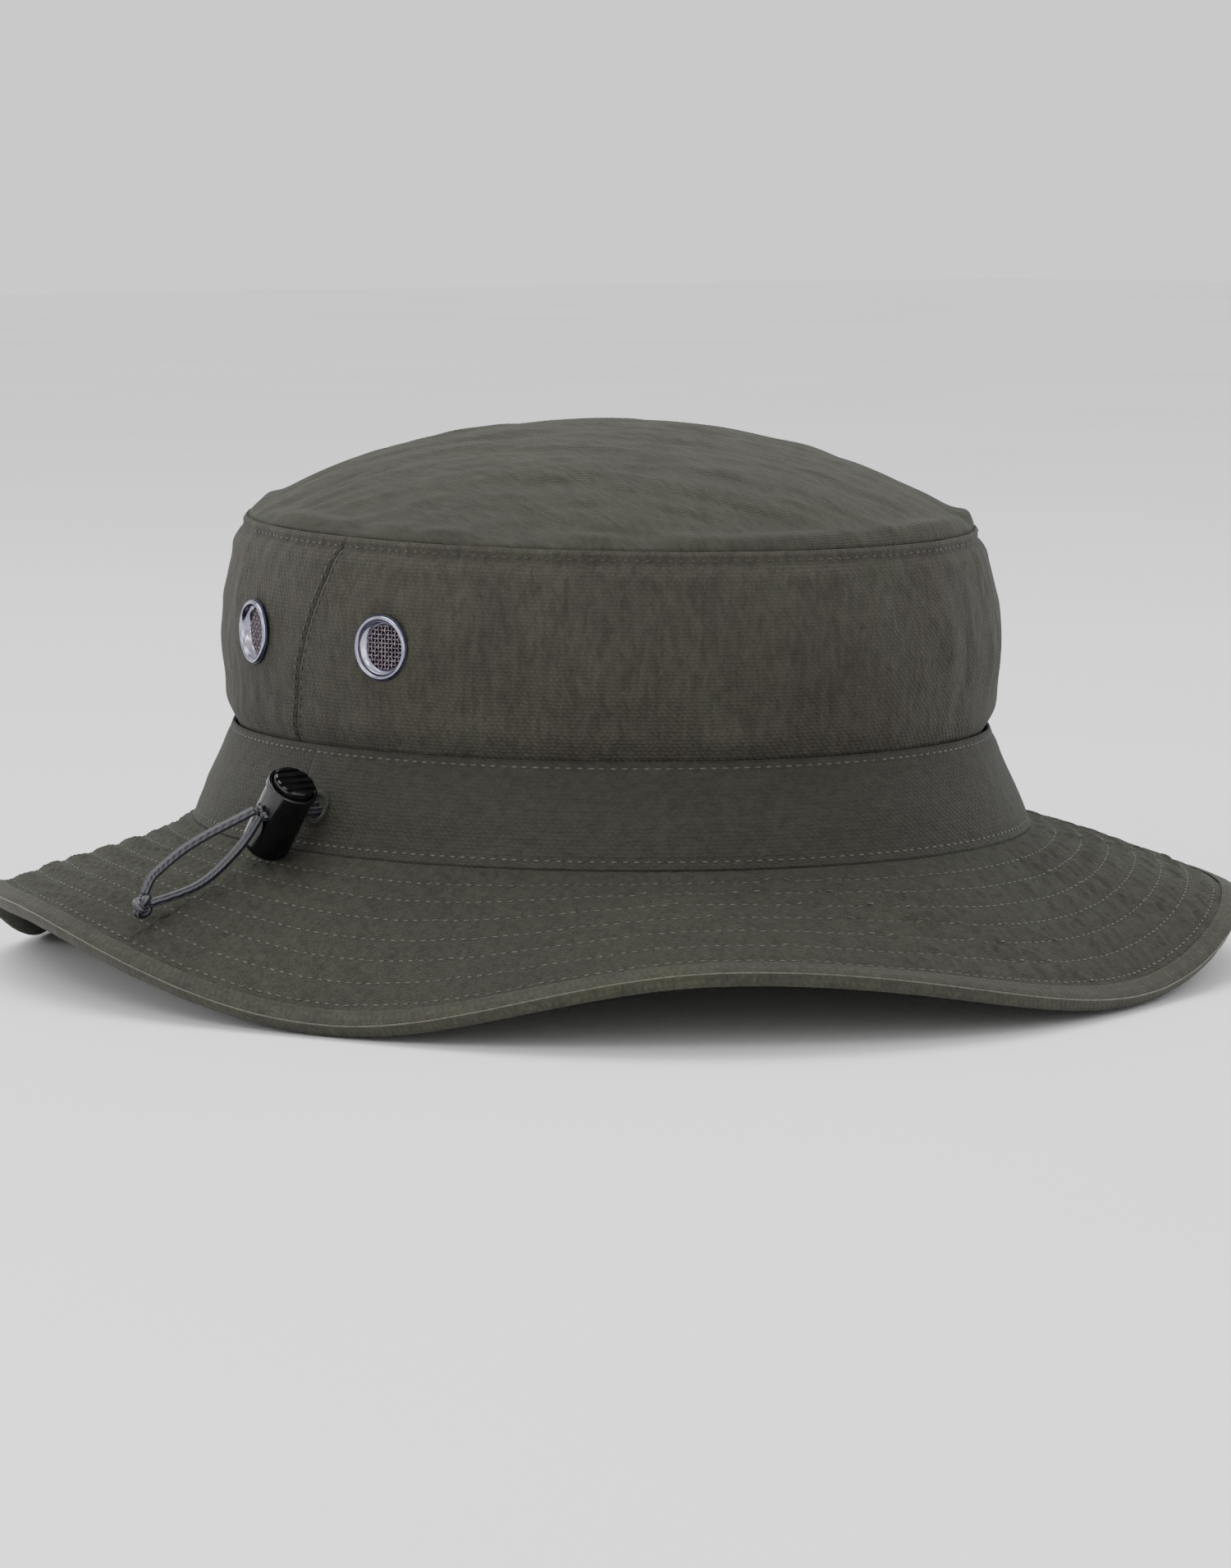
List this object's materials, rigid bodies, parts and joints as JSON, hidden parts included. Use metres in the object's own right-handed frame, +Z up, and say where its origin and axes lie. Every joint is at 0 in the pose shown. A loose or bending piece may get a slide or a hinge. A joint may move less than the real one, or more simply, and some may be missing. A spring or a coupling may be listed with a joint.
{
  "type": "boonie hat",
  "caption": "Soft brimmed sun hat with a domed crown, banded wall, wavy stitched brim, mesh eyelets and a drawcord with a push-button cord lock.",
  "frame": {"origin": "on the floor under the middle of the brim", "axes": "+Z up, -Y the front of the hat, -X the wearer's right, where the cord lock is"},
  "size_m": [0.2885, 0.3011, 0.1257],
  "materials": {
    "shell_nylon": "crinkled plain-weave nylon, dark olive grey, matt",
    "band_nylon": "the same nylon, a little darker",
    "lining_nylon": "plain nylon lining",
    "stiffener": "stiff non-woven interlining",
    "binding_tape": "folded woven binding tape",
    "seam_tape": "folded woven tape",
    "sweatband_cotton": "soft doubled cotton sweatband",
    "eyelet_metal": "rolled metal eyelet, gunmetal finish",
    "mesh_wire": "woven wire mesh",
    "thread": "dense satin stitching",
    "elastic_cord": "braided elastic cord, charcoal with pale flecks",
    "lock_plastic": "glossy black moulded plastic",
    "spring_steel": "steel spring wire"
  },
  "bodies": {
    "hat": {"crown_top": "shell_nylon", "side_panel_front": "shell_nylon", "side_panel_rear": "shell_nylon", "brim_top_front": "shell_nylon", "brim_top_rear": "shell_nylon", "band_front": "band_nylon", "band_rear": "band_nylon", "brim_under_front": "lining_nylon", "brim_under_rear": "lining_nylon", "brim_interlining_front": "stiffener", "brim_interlining_rear": "stiffener", "brim_binding": "binding_tape", "crown_seam_tape": "seam_tape", "side_seam_tape_left": "seam_tape", "side_seam_tape_right": "seam_tape", "sweatband": "sweatband_cotton", "eyelet_ring_right_rear": "eyelet_metal", "eyelet_washer_right_rear": "eyelet_metal", "eyelet_mesh_right_rear": "mesh_wire", "eyelet_ring_right_front": "eyelet_metal", "eyelet_washer_right_front": "eyelet_metal", "eyelet_mesh_right_front": "mesh_wire", "eyelet_ring_left_front": "eyelet_metal", "eyelet_washer_left_front": "eyelet_metal", "eyelet_mesh_left_front": "mesh_wire", "eyelet_ring_left_rear": "eyelet_metal", "eyelet_washer_left_rear": "eyelet_metal", "eyelet_mesh_left_rear": "mesh_wire", "cord_buttonhole": "thread", "drawcord": "elastic_cord", "cord_neck_upper": "elastic_cord", "cord_neck_lower": "elastic_cord"},
    "cord_lock": {"lock_barrel": "lock_plastic", "lock_spring": "spring_steel", "cord_loop_upper": "elastic_cord", "cord_loop_lower": "elastic_cord"},
    "push_button": {"lock_button": "lock_plastic"},
    "loop_end": {"cord_knot": "elastic_cord"}
  },
  "joints": [
    {"name": "lock_slide", "type": "slide", "parent": "hat", "child": "cord_lock", "axis": [-1, 0, 0], "range_m": [0, 0.012], "deforming": ["cord_neck_upper", "cord_neck_lower"]},
    {"name": "button_press", "type": "slide", "parent": "cord_lock", "child": "push_button", "axis": [0, 0.6, -0.8], "range_m": [0, 0.0023], "stiffness_N_per_m": 600, "springref_m": -0.001, "deforming": ["lock_spring"]},
    {"name": "loop_pull", "type": "slide", "parent": "cord_lock", "child": "loop_end", "axis": [-1, 0, 0], "range_m": [0, 0.02], "deforming": ["cord_loop_upper", "cord_loop_lower"]}
  ]
}
